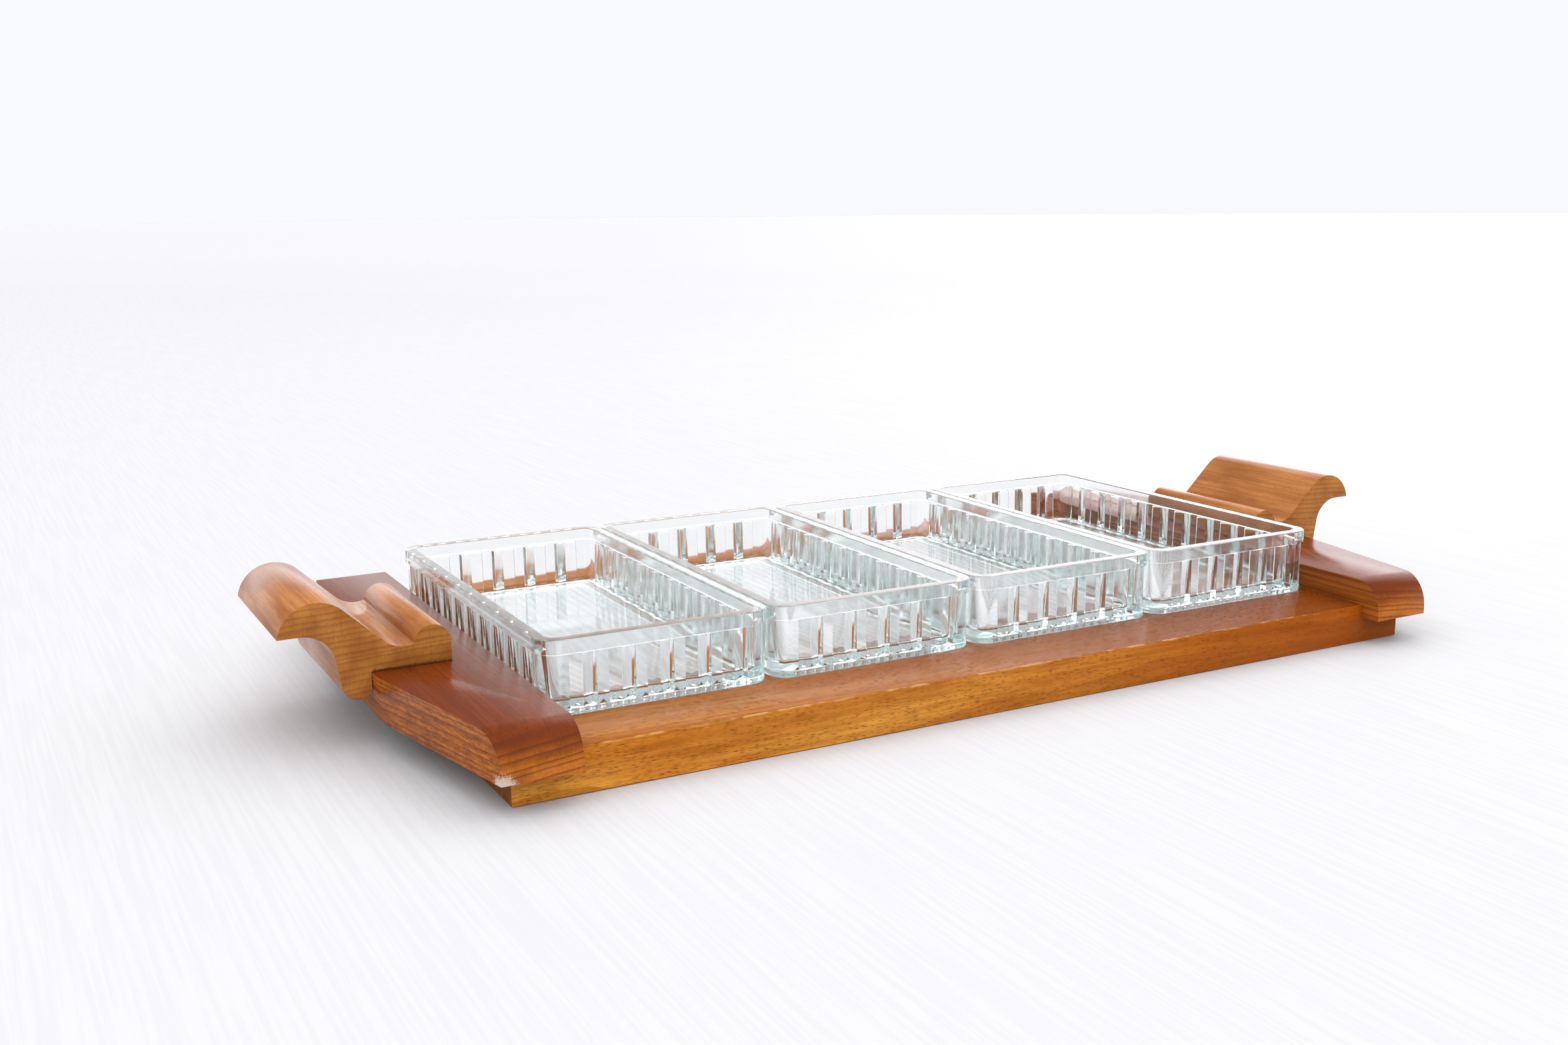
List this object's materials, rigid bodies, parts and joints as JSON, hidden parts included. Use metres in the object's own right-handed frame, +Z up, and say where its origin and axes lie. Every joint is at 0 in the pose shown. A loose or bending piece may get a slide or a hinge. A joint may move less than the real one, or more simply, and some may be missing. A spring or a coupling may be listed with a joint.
{
  "type": "sectioned serving tray",
  "caption": "Wooden serving tray with raised end rails and scroll handles, holding a row of ribbed rectangular glass dishes that lift out.",
  "frame": {"origin": "centre of the base board's underside, on the table", "axes": "+X along the tray towards the right-hand handle, -Y towards the front long side, +Z up"},
  "size_m": [0.5328, 0.2612, 0.057],
  "materials": {
    "board_wood": "clear gloss varnish over beech",
    "rail_wood": "clear gloss varnish over red-brown stained wood",
    "handle_wood": "clear satin varnish",
    "dish_glass": "clear pressed glass",
    "screw_steel": "plain steel"
  },
  "bodies": {
    "tray": {"base_board": "board_wood", "rail_left": "rail_wood", "rail_right": "rail_wood", "handle_left": "handle_wood", "handle_right": "handle_wood", "rail_screws_left": "screw_steel", "rail_screws_right": "screw_steel", "handle_screws_left": "screw_steel", "handle_screws_right": "screw_steel"},
    "dish_1": {"dish_1": "dish_glass"},
    "dish_2": {"dish_2": "dish_glass"},
    "dish_3": {"dish_3": "dish_glass"},
    "dish_4": {"dish_4": "dish_glass"}
  },
  "joints": [
    {"name": "dish_1_lift", "type": "slide", "parent": "tray", "child": "dish_1", "axis": [0, 0, 1], "range_m": [0, 0.06]},
    {"name": "dish_2_lift", "type": "slide", "parent": "tray", "child": "dish_2", "axis": [0, 0, 1], "range_m": [0, 0.06]},
    {"name": "dish_3_lift", "type": "slide", "parent": "tray", "child": "dish_3", "axis": [0, 0, 1], "range_m": [0, 0.06]},
    {"name": "dish_4_lift", "type": "slide", "parent": "tray", "child": "dish_4", "axis": [0, 0, 1], "range_m": [0, 0.06]}
  ]
}
